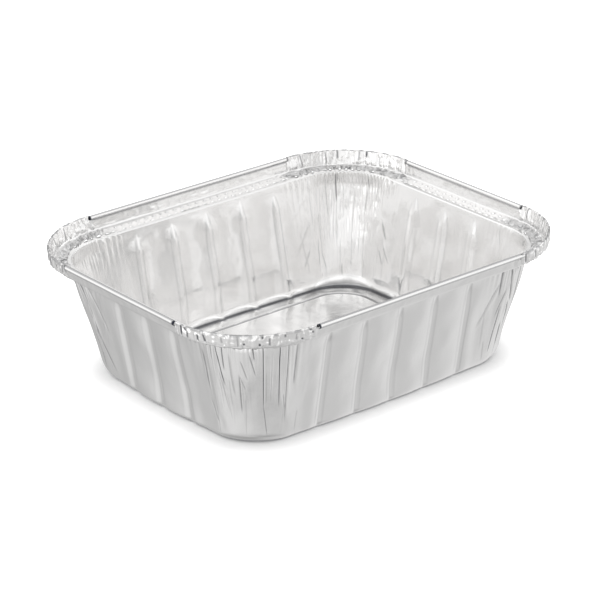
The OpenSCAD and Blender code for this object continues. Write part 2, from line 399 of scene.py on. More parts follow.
# Folds are (place, top height, place at the bottom, bottom height, depth, darkness of the painted shade in
# the groove). Places are from the middle of a corner's rim, counter-clockwise from above.
mainFolds = {
    0: [  # away from the camera, seen from inside
        (6.6, 38.7, 6, 29, 0.5, 0.7), (27.6, 37.2, 32.3, 31.7, 0.5, 0), (25.8, 31.7, 30.4, 25.7, 0.5, 0),
        (24.2, 22.7, 30.5, 13.2, 0.4, 0.2), (25, 13.2, 27.6, 8.2, 0.3, 0.3),
        (18.5, 15.7, 18.3, 7.7, -0.3, 0.3), (16.3, 11.7, 13.7, 6.2, -0.3, 0.3),
        (-24.5, 23.7, -26.3, 18.7, 0.4, 0.4), (-24, 13.7, -26, 9.7, 0.4, 0.3),
        (-25.8, 15.7, -28.8, 11.2, 0.4, 0.3), (3, 7, 2.8, 3.5, -0.4, 0.5), (12.5, 38, 11, 24, 0.4, 0.25),
        (-12, 38, -10.5, 26, 0.4, 0.25), (-4, 30, -3, 12, -0.35, 0.2),
    ],
    1: [
        (18, 33.7, 22, 17.7, 0.5, 0.9), (19, 21.7, 22.2, 15.2, 0.6, 1), (20, 10.7, 19.1, 4.7, 0.4, 0.8),
        (22, 18.7, 27.5, 5.7, 0.4, 0.5), (12.5, 37, 14, 24, 0.4, 0.9), (16, 36, 18.5, 27, 0.4, 0.8),
        (23.5, 34, 29.5, 20, 0.45, 0.3), (17.5, 15.5, 20, 9.5, 0.4, 0.7),
    ],
    2: [  # towards the camera
        (-25, 31.7, -24.3, 19.2, 0.4, 0.5), (-15.8, 36.5, -12.5, 23.2, 0.6, 1),
        (-11.8, 36.5, -11.5, 28.7, 0.45, 0.7), (-19.2, 37, -19, 31, 0.4, 0.5),
        (-24, 13.7, -20.5, 6.7, 0.4, 0.4), (-3.5, 25.7, -4, 12.7, 0.5, 0.5),
        (8.3, 37.2, 8, 14.7, 0.55, 0.8), (8, 14.7, 9.8, 4.2, 0.35, 0.45), (16.8, 36.5, 16.7, 15.7, 0.55, 1),
        (25.8, 34.7, 25.2, 21.7, 0.4, 0.5), (19.2, 17.7, 20.6, 12.7, 0.3, 0.3),
        (-2.3, 31.7, 0.2, 25.7, 0.3, 0.4), (-3.2, 26.2, -1, 21.7, 0.25, 0.3),
        (1.8, 34.2, 4.2, 27.2, 0.3, 0.5), (3.4, 36.7, 4, 32.7, 0.4, 0.7), (-8, 34, -7, 20, -0.4, 0.2),
        (12.5, 33, 12, 18, -0.4, 0.2), (21.8, 36.5, 21, 10, 0.35, 0.55),
    ],
    3: [
        (-18.5, 34.7, -14.5, 23.7, 0.6, 0.9), (-22, 13.7, -22.2, 5.7, 0.5, 0.8),
        (-17, 14.7, -16, 7.2, 0.5, 0.9), (-20, 27, -23.5, 19, 0.4, 0.5),
        (-24.6, 36.7, -24, 26.7, 0.35, 0.6), (-21.3, 21.2, -22, 13.7, 0.4, 0.7),
        (-11.5, 36, -10, 22, 0.45, 0.9), (-15.5, 22, -13, 12, 0.45, 0.8), (-25, 30, -31, 17, 0.4, 0.3),
    ],
}
smallFolds = {
    "count": 40, "reach": 30.0, "heights": (7.0, 38.5), "length": (4.0, 16.0), "depth": (0.03, 0.10),
    "dark": 0.22, "wander": 0.08, "fan": -0.12,
}


def footRadius(share):
    # the foot's radius in section; share is 0 on the sides and 1 in a corner's middle
    return tray["footRadius"] + (tray["cornerFootRadius"] - tray["footRadius"]) * share


def wallSection(share):
    # inset, height and corner radius of every row and column, from the ledge's inner edge down the wall,
    # round the foot, over the ring and the ridge to the panel
    floor = tray["foil"] / 2
    points = [
        (ledgeInner - wall["topReach"], ledgeHeight), (ledgeInner, ledgeHeight), (baseInset, floor),
        (stepInset, floor), (ridgeInset, tray["ridgeHeight"]), (panelInset, tray["panelRise"]),
        (panelInset + wall["panelReach"] + 0 * share, tray["panelRise"]),
    ]
    radii = [0, wall["topRadius"], footRadius(share), *wall["ringRadii"], 0]
    path, place = roundedPath(points, radii, wall["lineRows"], wall["arcRows"])
    inset, z = path[..., 0], path[..., 1]
    top = ledgeRadius(ledgeInner)
    down = np.clip((ledgeHeight - z) / ledgeHeight, 0, 1)
    outer = top + (tray["baseCornerRadius"] - top) * down - np.maximum(0, inset - baseInset)
    outer = np.where(inset < ledgeInner, ledgeRadius(inset), outer)
    inner = stepCornerRadius - (inset - stepInset)
    onRing = np.clip((place - 2.25) / 0.5, 0, 1)[:, None]
    return inset, z, outer * (1 - onRing) + inner * onRing


def fluteDepth(columns, z):
    # The wall bulges out between two flutes: it goes in by crown * (1 - d / half the pitch)^2, d being the
    # distance from the nearest flute's middle. Down that middle runs a narrow groove, pointed at the top, as
    # far as the foot. Gives that travel, and the painted shade along the groove's edges.
    top = ledgeHeight - wall["plainBand"]
    rise = np.clip((top - z) / wall["runout"], 0, 1)
    pitch = tray["flutePitch"]
    count = bySide(columns, (tray["flutesShort"], tray["flutesLong"]))
    d = np.abs(columns.along - np.clip(np.round(columns.along / pitch), -count, count) * pitch)
    half = bySide(columns, wall["grooveHalf"]) * np.sqrt(rise) + 0.01
    flat = bySide(columns, wall["grooveFlat"]) * rise
    slope = np.clip((half - d) / (half - flat), 0, 1) ** wall["grooveEase"]
    groove = bySide(columns, wall["grooveDepth"]) * slope * np.sqrt(rise)
    crown = bySide(columns, wall["crown"]) * np.clip(1 - 2 * d / pitch, 0, 1) ** 2
    crown = crown * smooth((top - z) / wall["crownFade"])
    inFlutes = smooth(((count + 0.5) * pitch - np.abs(columns.along)) / wall["bulgeEnd"])
    bulge = wall["bulge"] * inFlutes * smooth((top - z) / wall["bulgeFade"])
    foot = smooth((z - 0.2) / 1.4)
    # painted shade along both edges of each flute's groove
    edges = bySide(columns, wall["grooveShade"]) * tent((d - half) / wall["edgeWidth"])
    edges = edges * smooth(rise * 1.5) * smooth(z / 5)
    return (groove + crown - bulge) * foot * ~columns.isCorner, edges * ~columns.isCorner


def cornerGathers(columns, z):
    # irregular pleats that turn in and out round each corner, tightest at the top, with flat facets and
    # folds between, and the folds' painted shade; the noise repeats after the whole rim
    cells = 12 * round(columns.total / wall["cell"] / 12)
    u = columns.around(cells)
    high = np.clip(z / ledgeHeight, 0, 1)
    wander = wall["gatherWander"] * lattice(u / 3, z / 20, 11, cells // 3)
    wave = np.sin(columns.arc / columns.quarter * wall["gathers"] * 2 * np.pi + wander)
    depth = wall["gatherLow"] + (wall["gatherTop"] - wall["gatherLow"]) * high ** 9
    body = depth * wave * (0.55 + 0.45 * lattice(u / 2, z / 12, 12, cells // 2))
    body = body + wall["pleats"] * lattice(u * 0.5, z / 22 + 3, 13, cells // 2)
    body = body + 0.4 * wall["pleats"] * lattice(u, z / 12 + 3, 16, cells)
    body = body + wall["facets"] * ridged(u * 0.75 + 0.04 * z, z / 10, 14, cells * 3 // 4)
    body = body + wall["wrinkles"] * lattice(u * 2.5, z / 3, 15, cells * 5 // 2)
    end, fade = wall["oneCorner"]
    away, near = (smooth((end - np.abs(columns.fromCorner(corner))) / fade) for corner in (0, 2))
    body = body + wall["mottles"] * away * ridged(u * 1.5, z / 4, 17, cells * 3 // 2)
    body = body * (1 - wall["calmNear"] * near)
    groove = 0 * body
    for corner in range(4):
        small = scatteredFolds(smallFolds, 200 + corner)
        for folds, width in ((mainFolds[corner], 1), (small, wall["smallWidth"])):
            field, inGroove = pressedFolds(columns, z, corner, folds, width * wall["foldWidth"])
            body, groove = body + field, np.maximum(groove, inGroove)
    upper = smooth((ledgeHeight + 0.2 - z) / 1.2)
    foot = smooth((z - 0.3) / 3.5)
    lower = foot * (0.12 + 0.88 * smooth((z - 3) / 25))
    body = body * columns.cornerZone(wall["gatherReach"]) * upper * lower
    # the painted shade in the corners' folds
    return body, groove * columns.cornerZone(wall["foldReach"]) * upper * foot


def slackness(columns, inset, z):
    # how far in the foil lies where it isn't taut: dents, less the foot's bow, by (1 - (along / half)^2)^2,
    # and less the corners' bulge
    cells = wall["dentCells"]
    u = columns.around(cells)
    dents = lattice(u, z / 13, 21, cells) + 0.5 * lattice(u * 2, z / 6, 22, 2 * cells)
    dents = wall["dents"] * dents * smooth((ledgeHeight - 0.5 - z) / 4) * smooth((z - 1) / 6)
    bow = wall["bow"] * (1 - (columns.along / columns.half) ** 2) ** 2 * ~columns.isCorner
    bow = bow * smooth((wall["bowHeight"] - z) / wall["bowHeight"]) * smooth((stepInset - inset) / 2.5)
    bulge = wall["cornerBulge"] * columns.cornerShare * smooth((ledgeHeight - z) / 5) * smooth((z - 8) / 20)
    return dents - bow - bulge


def footShade(columns, inset, z, flutes):
    # painted shade: a dark line along the foot's inside, which gives way a little at each flute, painted
    # shade in blobs on the ring inside it, standing for the wall that it reflects, and a line on the inner
    # side of the ridge
    blobs = 0.5 + 0.5 * lattice(columns.around(80), inset / 1.5, 23, 80)
    ring = wall["ringShade"] * blobs * smooth((inset - baseInset - 1.2) / 0.8)
    ring = ring * smooth((stepInset - inset) / 0.5)
    reach = footReach(footRadius(columns.cornerShare))
    nearFlute = flutes[z.shape[0] // 2] / bySide(columns, wall["crown"])
    middle = (0.62 + 0.3 * np.clip(nearFlute, 0, 1)) * reach
    line = np.minimum(1, 1.7 * tent((inset - baseInset - middle) / (0.42 * reach)))
    line = wall["footShade"] * line * (z < 1.4)
    behind = wall["ringShade"] * tent((inset - panelInset + 0.1) / 0.6)
    return np.maximum(np.maximum(ring, line), behind)


def makeWall():
    # four sheets, each one side and the corner after it, cut from one grid that goes all round
    columns = Columns(wall["straightStep"], wall["endStep"], wall["cornerStep"])
    inset, z, radius = wallSection(columns.cornerShare)
    gathers, groove = cornerGathers(columns, z)
    flutes, edges = fluteDepth(columns, z)
    # the painted shade of the folds, the flutes' edges and the foot
    shade = np.maximum(np.maximum(groove, edges), footShade(columns, inset, z, flutes))
    points = columns.place(inset, z, radius, flutes + gathers + slackness(columns, inset, z))
    normals = gridNormals(points, True)
    made = []
    for side in range(4):
        first, count = np.argmax(columns.side == side), np.sum(columns.side == side)
        chosen = np.arange(first, first + count + 1)
        cut = [np.take(values, chosen, axis=1, mode="wrap") for values in (points, normals, shade)]
        made.append(makeObject("foil_wall_%d" % (side + 1), [foilShell(*cut)]))
    return made


# The base panel
panel = {
    "columns": 130, "rows": 100,
    "overlap": 0.75,  # how far inside the ridge its edge starts
    # shade is the darkness of the painted shade, in patches, that dims the panel's reflection
    "waves": 0.18, "sag": 0.25, "shade": 0.16,
}


def makePanel():
    # A square grid from -1 to 1 drawn out to a rounded rectangle, sunk by sag * (1 - reach^2), reach being
    # the share of the way to its edge, with shallow waves. Both fade near the edge.
    half = np.array([tray["halfLength"], tray["halfWidth"]]) - panelInset - panel["overlap"]
    corner = stepCornerRadius - (panelInset + panel["overlap"] - stepInset)
    across, along = np.meshgrid(np.linspace(-1, 1, panel["columns"]), np.linspace(-1, 1, panel["rows"]))
    reach = np.maximum(np.abs(across), np.abs(along))
    angle = np.arctan2(along * half[1], across * half[0])
    # distance from the middle to the rounded rectangle's edge that way, by bisection on its signed distance
    c, s = np.cos(angle), np.sin(angle)
    low, high = np.zeros_like(c), np.full_like(c, half.sum())
    for k in range(40):
        mid = (low + high) / 2
        dx, dy = np.abs(mid * c) - (half[0] - corner), np.abs(mid * s) - (half[1] - corner)
        outside = np.hypot(np.maximum(dx, 0), np.maximum(dy, 0)) + np.minimum(np.maximum(dx, dy), 0) > corner
        low, high = np.where(outside, low, mid), np.where(outside, mid, high)
    x, y = reach * low * c, reach * low * s
    z = panel["waves"] * lattice(x / 16 + 40, y / 16 + 40, 31)
    z = z + 0.4 * panel["waves"] * lattice(x / 5 + 80, y / 7 + 80, 32) - panel["sag"] * (1 - reach ** 2)
    z = tray["panelRise"] + smooth((1 - reach) * 6) * z
    points = np.stack([x, y, z], -1)[::-1]
    x, y = points[..., 0], points[..., 1]
    # painted shade in patches over the panel, dimming its reflection unevenly
    shadePatches = 0.5 + 0.3 * lattice(x / 3 + 60, y / 9 + 60, 33) + 0.3 * lattice(x / 1.5 + 90, y / 3 + 90, 34)
    return makeObject("foil_base", [foilShell(points, gridNormals(points, False), panel["shade"] * shadePatches)])


# The ledge, lip, rolled bead and corner hem
rim = {
    "straightStep": 0.5, "endStep": 0.4, "cornerStep": 0.22,
    "lineRows": (10, 18), "arcRows": (0, 4, 0), "lipRadius": 0.7,
    "bumpPitch": 3.05, "bumpHeight": 0.32, "bumpSize": 0.95, "bumpRows": (0.27, 0.68),
    "ledgeCrumple": 0.75, "ledgeCells": 300, "ledgeReach": 9.0, "ledgeEnd": 1.5,
    "lipCrumple": 0.19, "lipFine": 0.08, "lipWave": 0.10, "lipWrinkles": 0.05,
    "lipCells": 400, "lipReach": 3.0,
    "beadTurn": 305, "beadRows": 26, "beadPlay": 0.06, "beadTightens": 0.12,
    "hemHeight": 3.8, "hemFold": 0.6, "hemPleats": 0.13, "hemRagged": (0.30, 0.12), "hemCreases": 0.10,
    "hemPlay": 0.05, "hemReach": 1.5, "foldWidth": 0.45, "foldReach": 2.5,
    # how dark the painted shade is at the bead's seams and its top line, the ledge's corners, its creases
    # and its inner edge
    "seamShade": 0.62, "crestShade": 0.5, "ledgeShade": 0.28, "crumpleShade": 0.5, "edgeShade": 0.35,
    "beadShift": {3: (1.0, 2.0)},  # how much later than the straight edge a side's bead starts and ends
    # the bead's ends get painted shade inside the open tube, over these lengths
    "beadEnds": {(2, 1): 1.5, (3, -1): 1.0, (0, -1): 1.0, (1, 1): 0.8},  # dark length by side and end
}
# Folds on the lip and the hem, by corner, as on the wall
lipFolds = {
    0: [
        (18.5, 44, 18, 40, 0.3, 0.5), (8.7, 43.6, 8.4, 40, 0.3, 0.5), (4.3, 44, 4.3, 41.5, 0.35, 0.7),
        (-3.9, 44, -3.6, 41, 0.3, 0.5), (-6.6, 44, -6.6, 42.2, 0.4, 0.9), (-12, 43, -11.5, 40, 0.25, 0.4),
        (-23.2, 44.2, -23.2, 42.6, 0.4, 0.8),
    ],
    1: [
        (-11.6, 43.6, -11.2, 40.5, 0.35, 0.6), (13.7, 43.5, 13.4, 41, 0.4, 0.8),
        (18.7, 42.5, 18.4, 40.2, 0.4, 0.8), (-3, 43.5, -2.6, 41, 0.3, 0.4),
        (5.5, 43.8, 5.8, 40.4, 0.3, 0.5), (22.6, 44, 22.2, 41, 0.3, 0.5),
    ],
    2: [
        (-21.2, 43.9, -20.9, 40.8, 0.4, 1), (-19.6, 43.6, -18.9, 42.6, 0.3, 0.9),
        (-18.3, 42.4, -18.3, 40.9, 0.35, 0.8), (-14.6, 42.4, -14.4, 40.6, 0.4, 0.9),
        (-12.4, 43.2, -11.7, 40.5, 0.35, 0.8), (-6.4, 43, -6.2, 41.2, 0.25, 0.35),
        (-1.3, 43.4, -1.2, 40.4, 0.25, 0.35), (0.6, 41.4, 0.6, 40.6, 0.4, 0.9),
        (5.4, 41.4, 5.4, 40.5, 0.45, 1), (6.3, 43.6, 6.2, 42.9, 0.4, 0.9), (8.4, 43, 8.4, 40.5, 0.3, 0.6),
        (13.3, 43.6, 13.3, 42.8, 0.3, 0.7), (17, 43.2, 16.8, 41.5, 0.25, 0.4),
        (19, 41.4, 19, 40.7, 0.4, 0.9), (21.4, 43.8, 22.3, 43, 0.3, 0.8), (23, 42.6, 23, 41.8, 0.3, 0.7),
    ],
    3: [
        (20.8, 43.5, 20.6, 41, 0.4, 0.7), (1.9, 43.4, 1.6, 41, 0.35, 0.7),
        (-7.9, 43.2, -7.6, 40.8, 0.35, 0.7), (-17, 43.5, -16.8, 41, 0.3, 0.5),
        (-21.5, 43.8, -21.5, 40.6, 0.35, 0.7), (10, 43.5, 9.8, 40.4, 0.3, 0.4),
    ],
}
# Folds on the ledge, by corner: place, share of the ledge's width from and to, darkness of the painted shade
ledgeFolds = {
    0: [(5.8, 0.2, 1, 0.7), (8.7, 0.2, 0.6, 0.4), (18.5, 0.3, 0.9, 0.4), (-10, 0.3, 1, 0.3)],
    1: [
        (-10.4, 0.3, 0.7, 0.8), (-14.4, 0.3, 0.6, 0.6), (-18.2, 0.2, 0.5, 0.5), (6.6, 0.3, 0.8, 0.8),
        (10.9, 0.2, 0.6, 0.8),
    ],
    2: [(-15, 0.2, 0.8, 0.4), (3, 0.2, 0.9, 0.4), (14, 0.2, 0.8, 0.4)],
    3: [
        (17.3, 0.2, 0.6, 0.7), (15.1, 0.4, 0.8, 0.5), (-1, 0.2, 0.6, 0.6), (1.9, 0.1, 0.5, 0.6),
        (-7.9, 0.2, 0.5, 0.5),
    ],
}


def lipInward(columns, height):
    # the lip's pleats in the corners, gathered tighter than the wall's, and a slight wave along the sides
    cells = rim["lipCells"]
    u = columns.around(cells)
    zone = columns.cornerZone(rim["lipReach"])
    pleats = 0.8 * ridged(u, height / 5, 41, cells) + 0.6 * ridged(u / 2, height / 8, 42, cells // 2)
    pleats = rim["lipCrumple"] * pleats + rim["lipFine"] * ridged(u, height / 1.2 + 7, 43, cells)
    wave = rim["lipWave"] * lattice(u / 8, height / 3, 44, cells // 8)
    wrinkles = rim["lipWrinkles"] * ridged(u / 2, height / 1.5, 45, cells // 2)
    return pleats * zone + wave + wrinkles * smooth((seamHeight - height) / 1.5)


def ledgeUp(columns, inset):
    # two rows of small round bumps along the sides, each height * e^(-(distance / radius)^2), and radial
    # crumples in the corners; gives that height and the painted shade over the corners, darkest in the
    # crumples' creases
    share = (inset - ledgeOuter) / tray["ledgeWidth"]
    zone = columns.cornerZone(rim["ledgeReach"])
    bumps = 0
    for k, place in enumerate(rim["bumpRows"]):
        wander = 0.22 * lattice(columns.arc / 4, 0 * columns.arc + 9 * k, 54)
        along = (columns.along / rim["bumpPitch"] + wander + 0.5 * k + 0.5) % 1 - 0.5
        r2 = (along * rim["bumpPitch"]) ** 2 + ((share - place) * tray["ledgeWidth"]) ** 2
        bumps = bumps + rim["bumpHeight"] * np.exp(-r2 / (rim["bumpSize"] / 1.6) ** 2)
    cells = rim["ledgeCells"]
    u = columns.around(cells)
    large = ridged(u, inset / 3.5, 51, cells)
    crumple = rim["ledgeCrumple"] * (large + 0.5 * ridged(u / 2, inset / 2, 52, cells // 2))
    inside = smooth((share + 0.02) * 6) * smooth((1.0 - share) * 5)
    wander = 0.14 * lattice(u / 6, inset / 4, 53, cells // 6)
    dark = (rim["ledgeShade"] + rim["crumpleShade"] * smooth((-0.42 - large) / 0.16)) * zone * inside
    return (bumps * (1 - zone) + crumple * zone * 0.8 + wander) * inside, dark


def ledgeFolded(columns, inset):
    # radial folds across the ledge in the corners: grooves that fade at both ends, and the painted shade in
    # them
    share = (inset - ledgeOuter) / tray["ledgeWidth"]
    field, groove = 0, 0
    for corner, folds in ledgeFolds.items():
        x = columns.fromCorner(corner)
        for place, start, stop, dark in folds:
            across = (x - place - 1.2 * (share - start)) / (1.2 * rim["foldWidth"])
            ends = smooth((share - start + 0.15) / 0.2) * smooth((stop + 0.15 - share) / 0.2)
            field = field - 0.3 * tent(across / 1.3) * ends
            groove = np.maximum(groove, tent(across) * ends * dark)
    return field, groove


def lipFolded(columns, height):
    # the folds on the lip and the hem, and the painted shade in them
    field, groove = 0, 0
    for corner in range(4):
        more, dark = pressedFolds(columns, height, corner, lipFolds[corner], rim["foldWidth"])
        field, groove = field + more, np.maximum(groove, dark)
    zone = columns.cornerZone(rim["foldReach"])
    return field * zone, groove * zone


def makeRim():
    # The lip and the ledge as one band, then the beads and hems. The lip ends at the bead's inner seam; in
    # the corners, where there is no bead, it leans out to the fold of the hem.
    columns = Columns(rim["straightStep"], rim["endStep"], rim["cornerStep"])
    zone = columns.cornerZone(rim["hemReach"])
    hemTop = tray["height"] - rim["hemFold"] / 2 - rim["hemPlay"]
    points = [
        (lipInset - tray["hemFlare"] * zone, seamHeight + (hemTop - seamHeight) * zone),
        (ledgeOuter, ledgeHeight), (ledgeInner - rim["ledgeEnd"] + 0 * zone, ledgeHeight),
    ]
    path = roundedPath(points, [0, rim["lipRadius"], 0], rim["lineRows"], rim["arcRows"])[0]
    inset, z = path[..., 0], path[..., 1]
    onLip = smooth((z - ledgeHeight) / 1.5)
    field, groove = lipFolded(columns, z)
    inward = (lipInward(columns, z) + field) * onLip
    across, onLedge = ledgeFolded(columns, inset)
    up, dark = ledgeUp(columns, inset)
    z = z + (up + across) * (1 - onLip)
    groove = np.maximum(groove * onLip, np.maximum(dark, onLedge) * (1 - onLip))
    # painted shade under the lip's seam with the bead, and along the ledge's inner edge
    below = rim["seamShade"] * tent((seamHeight - z) / 0.6) * (1 - zone)
    edge = rim["edgeShade"] * tent((inset - ledgeInner + 1.35) / 0.35) * (1 - onLip)
    groove = np.maximum(groove, np.maximum(below, edge))
    points = columns.place(inset, z, ledgeRadius(inset), inward)
    band = makeObject("foil_rim", [foilShell(points, gridNormals(points, True), groove, True)])
    shells = [shell(columns, side) for side in range(4) for shell in (beadShell, hemShell)]
    return [band, makeObject("foil_bead", shells)]


def beadShell(columns, side):
    # the bead along one side: a spiral from the lip's top over the outside and back under, open at both ends
    late, far = rim["beadShift"].get(side, (0, 0))
    start = columns.cornerStart[side] - 2 * sideEnd[side % 2] + late
    stop = columns.cornerStart[side] + far
    part = columns.only((columns.arc >= start) & (columns.arc <= stop + 1e-6))
    turned = np.linspace(rim["beadTurn"], 0, rim["beadRows"])[:, None]
    degrees = 180 + tray["beadOverhang"] - turned
    angle = np.radians(degrees)
    tighter = (beadRadius - rim["beadPlay"]) * (1 - rim["beadTightens"] * turned / rim["beadTurn"])
    inset = tray["beadDiameter"] / 2 + 0.5 * rim["beadPlay"] - tighter * np.cos(angle) + 0 * part.along
    middle = tray["height"] - tray["beadDiameter"] / 2 - rim["beadPlay"]
    z = middle + tighter * np.sin(angle) + 0 * part.along
    points = part.place(inset, z, tray["rimCornerRadius"] - inset, 0.5 * lipInward(part, z))
    # painted shade: inside the open ends, along both seams where the bead meets the lip and tucks under, and
    # a line along its top
    onward, back = stop - part.arc, part.arc - start
    darkEnds = [rim["beadEnds"].get((side, end), 0.5) for end in (1, -1)]
    dark = np.where(onward < back, *darkEnds)
    ends = np.clip(2.5 - 2.5 * np.minimum(onward, back) / dark, 0, 1) * (degrees > -60)
    seams = rim["seamShade"] * np.maximum(smooth((degrees - 165) / 40), smooth((-8 - degrees) / 25))
    crest = rim["crestShade"] * smooth((degrees - 46) / 14) * smooth((128 - degrees) / 14)
    shade = np.maximum(np.maximum(seams, crest), ends)
    return foilShell(points, gridNormals(points, False), shade)


def hemShell(columns, corner):
    # the flattened hem round one corner: over the lip's top and down its outside, with a ragged lower edge
    part = columns.only((columns.side == corner) & columns.isCorner)
    arc = part.arc
    own = 0 * arc + corner  # each corner's own row in the noise
    fold = rim["hemFold"]
    outer = lipInset - tray["hemFlare"]
    angle = np.radians(np.linspace(0, 180, 6))[:, None]
    top = tray["height"] - fold / 2 - rim["hemPlay"]
    bend = np.stack([outer - fold / 2 - fold / 2 * np.cos(angle), top + fold / 2 * np.sin(angle)], -1)
    drop = np.linspace(rim["hemHeight"], fold, 12, endpoint=False)[:, None]
    flap = np.stack([outer - fold + 0.18 * (drop / rim["hemHeight"]) ** 2, tray["height"] - drop], -1)
    path = np.concatenate([flap, bend])
    inset = path[..., 0] + 0 * arc
    z = path[..., 1] + 0 * arc
    down = np.clip((tray["height"] - z) / rim["hemHeight"], 0, 1)
    wander = 0.35 * lattice(arc / 7 + 3 * corner, 0 * arc, 64)
    pleats = rim["hemPleats"] * np.sin(arc / 2.2 * 2 * np.pi + 4 * wander)
    pleats = pleats * (0.4 + 0.6 * lattice(arc / 3, z / 5, 65) ** 2)
    creases = rim["hemCreases"] * ridged(arc / 0.9, z / 3, 63)
    field, groove = lipFolded(part, z)
    inward = lipInward(part, z) + pleats * smooth(down * 2) + field + creases * smooth(down * 3)
    # painted shade in dashes along the hem's top fold, and a faint line of painted shadow along its lower
    # edge
    dashes = smooth(0.6 + 1.6 * lattice(arc / 1.1, own, 66))
    crest = rim["crestShade"] * dashes * smooth((0.15 - down) / 0.08)
    edge = np.maximum(0.15 * smooth((down - 0.85) / 0.15), crest)
    large, small = rim["hemRagged"]
    ragged = large * lattice(arc / 1.3, own, 61) + small * lattice(arc / 0.5, own, 62)
    z = z - ragged * down ** 2
    points = part.place(inset, z, tray["rimCornerRadius"] - inset, np.maximum(inward, -0.25))
    return foilShell(points, gridNormals(points, False), np.maximum(groove, edge))


class Wire:
    # a shader socket that adds Math nodes when it is used in arithmetic
    def __init__(self, shader, socket):
        self.shader, self.socket = shader, socket

    def combine(self, operation, *values):
        return self.shader.node("ShaderNodeMath", {"operation": operation}, dict(enumerate(values)))

    def __add__(self, b):
        return self.combine("ADD", self, b)

    def __radd__(self, b):
        return self.combine("ADD", b, self)

    def __sub__(self, b):
        return self.combine("SUBTRACT", self, b)

    def __rsub__(self, b):
        return self.combine("SUBTRACT", b, self)

    def __mul__(self, b):
        return self.combine("MULTIPLY", self, b)

    def __rmul__(self, b):
        return self.combine("MULTIPLY", b, self)

    def __truediv__(self, b):
        return self.combine("DIVIDE", self, b)

    def clamp(self):
        return self.shader.node("ShaderNodeClamp", {}, {"Value": self})

    def largest(self, b):
        return self.combine("MAXIMUM", self, b)

    def absolute(self):
        return self.combine("ABSOLUTE", self)

    def squareRoot(self):
        return self.combine("SQRT", self)


class Shader:
    # a node tree that is emptied and then filled through one method
    def __init__(self, owner):
        owner.use_nodes = True
        self.tree = owner.node_tree
        self.tree.nodes.clear()

    def node(self, kind, settings, values, output=0):
        # adds a node, sets its settings first and then its sockets, and gives back one of its outputs
        made = self.tree.nodes.new(kind)
        for name, value in settings.items():
            setattr(made, name, value)
        for name, value in values.items():
            if isinstance(value, Wire):
                self.tree.links.new(value.socket, made.inputs[name])
            else:
                made.inputs[name].default_value = value
        self.made = made
        return Wire(self, made.outputs[output]) if made.outputs else made

    def outputs(self, *names):
        # the named outputs of the node that was added last
        return [Wire(self, self.made.outputs[name]) for name in names]


# The foil's finish
foil = {
    # the second colour is the painted shade's, a dark blue-grey that the shade marks mix into the foil's
    # colour
    "colour": (0.93, 0.925, 0.92, 1), "paintedShadeColour": (0.03, 0.034, 0.048, 1),
    "roughness": 0.155, "cloudRoughness": 0.07, "cloudScale": 60.0,
    "crinkleScale": 420.0, "crinkleHeight": 0.00006,
}
white = (1, 1, 1, 1)


def foilMaterial():
    # bare metal: clouds in its roughness, a fine crinkle in its surface, and painted shade in its colour,
    # which the mesh's shade marks darken in the folds, seams, grooves and other places where shade falls
    material = bpy.data.materials.new("rolledFoil")
    s = Shader(material)
    where = s.node("ShaderNodeTexCoord", {}, {}, "Object")
    cloud, crinkle = (
        s.node("ShaderNodeTexNoise", {}, {"Vector": where, "Scale": foil[scale], "Detail": 3.0}, "Fac")
        for scale in ("cloudScale", "crinkleScale"))
    rough = foil["roughness"] + (cloud - 0.5) * foil["cloudRoughness"]
    paintedShadeFac = s.node("ShaderNodeAttribute", {"attribute_name": "paintedShade"}, {}, "Fac")
    colour = s.node("ShaderNodeMix", {"data_type": "RGBA"}, {
        0: paintedShadeFac, 6: foil["colour"], 7: foil["paintedShadeColour"]}, 2)
    bump = s.node("ShaderNodeBump", {}, {
        "Strength": 1.0, "Distance": foil["crinkleHeight"], "Height": crinkle}, "Normal")
    surface = s.node("ShaderNodeBsdfPrincipled", {}, {
        "Base Color": colour, "Metallic": 1.0, "Roughness": rough, "Normal": bump}, "BSDF")
    s.node("ShaderNodeOutputMaterial", {}, {"Surface": surface})
    return material


material = foilMaterial()
pieces = makeWall() + [makePanel()] + makeRim()
for piece in pieces:
    piece.data.materials.append(material)
    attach(piece, root)
    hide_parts("foil_tray")
print("pieces made:", [piece.name for piece in pieces])

# The floor and the world are white to the camera and give the tray a plain level of light. The tent is
# what a photographer stands round metal to give it tone: only the metal sees it.
studio = {
    "floorSize": 6.0, "floorColour": (0.9, 0.9, 0.9, 1), "floorLift": 0.62,
    "shadowLift": 0.08, "shadowStart": -0.002, "shadowReach": 0.014,
    "ambient": 1.0,
}
lightTent = {
    "radius": 2.0, "rings": 24,
    "above": 0.93, "ring": 0.18, "straightUp": 0.60,  # how much lighter in a ring, and darker in its middle
    "level": 1.08, "levelSides": 0.34, "levelBehind": 0.85, "streaks": 0.17,
    "below": 0.63, "belowSides": 0.14, "belowFront": 0.045, "straightDown": 0.7,
    "behind": (0.63, 0.78),  # the way from the camera to the tray, on the floor
}


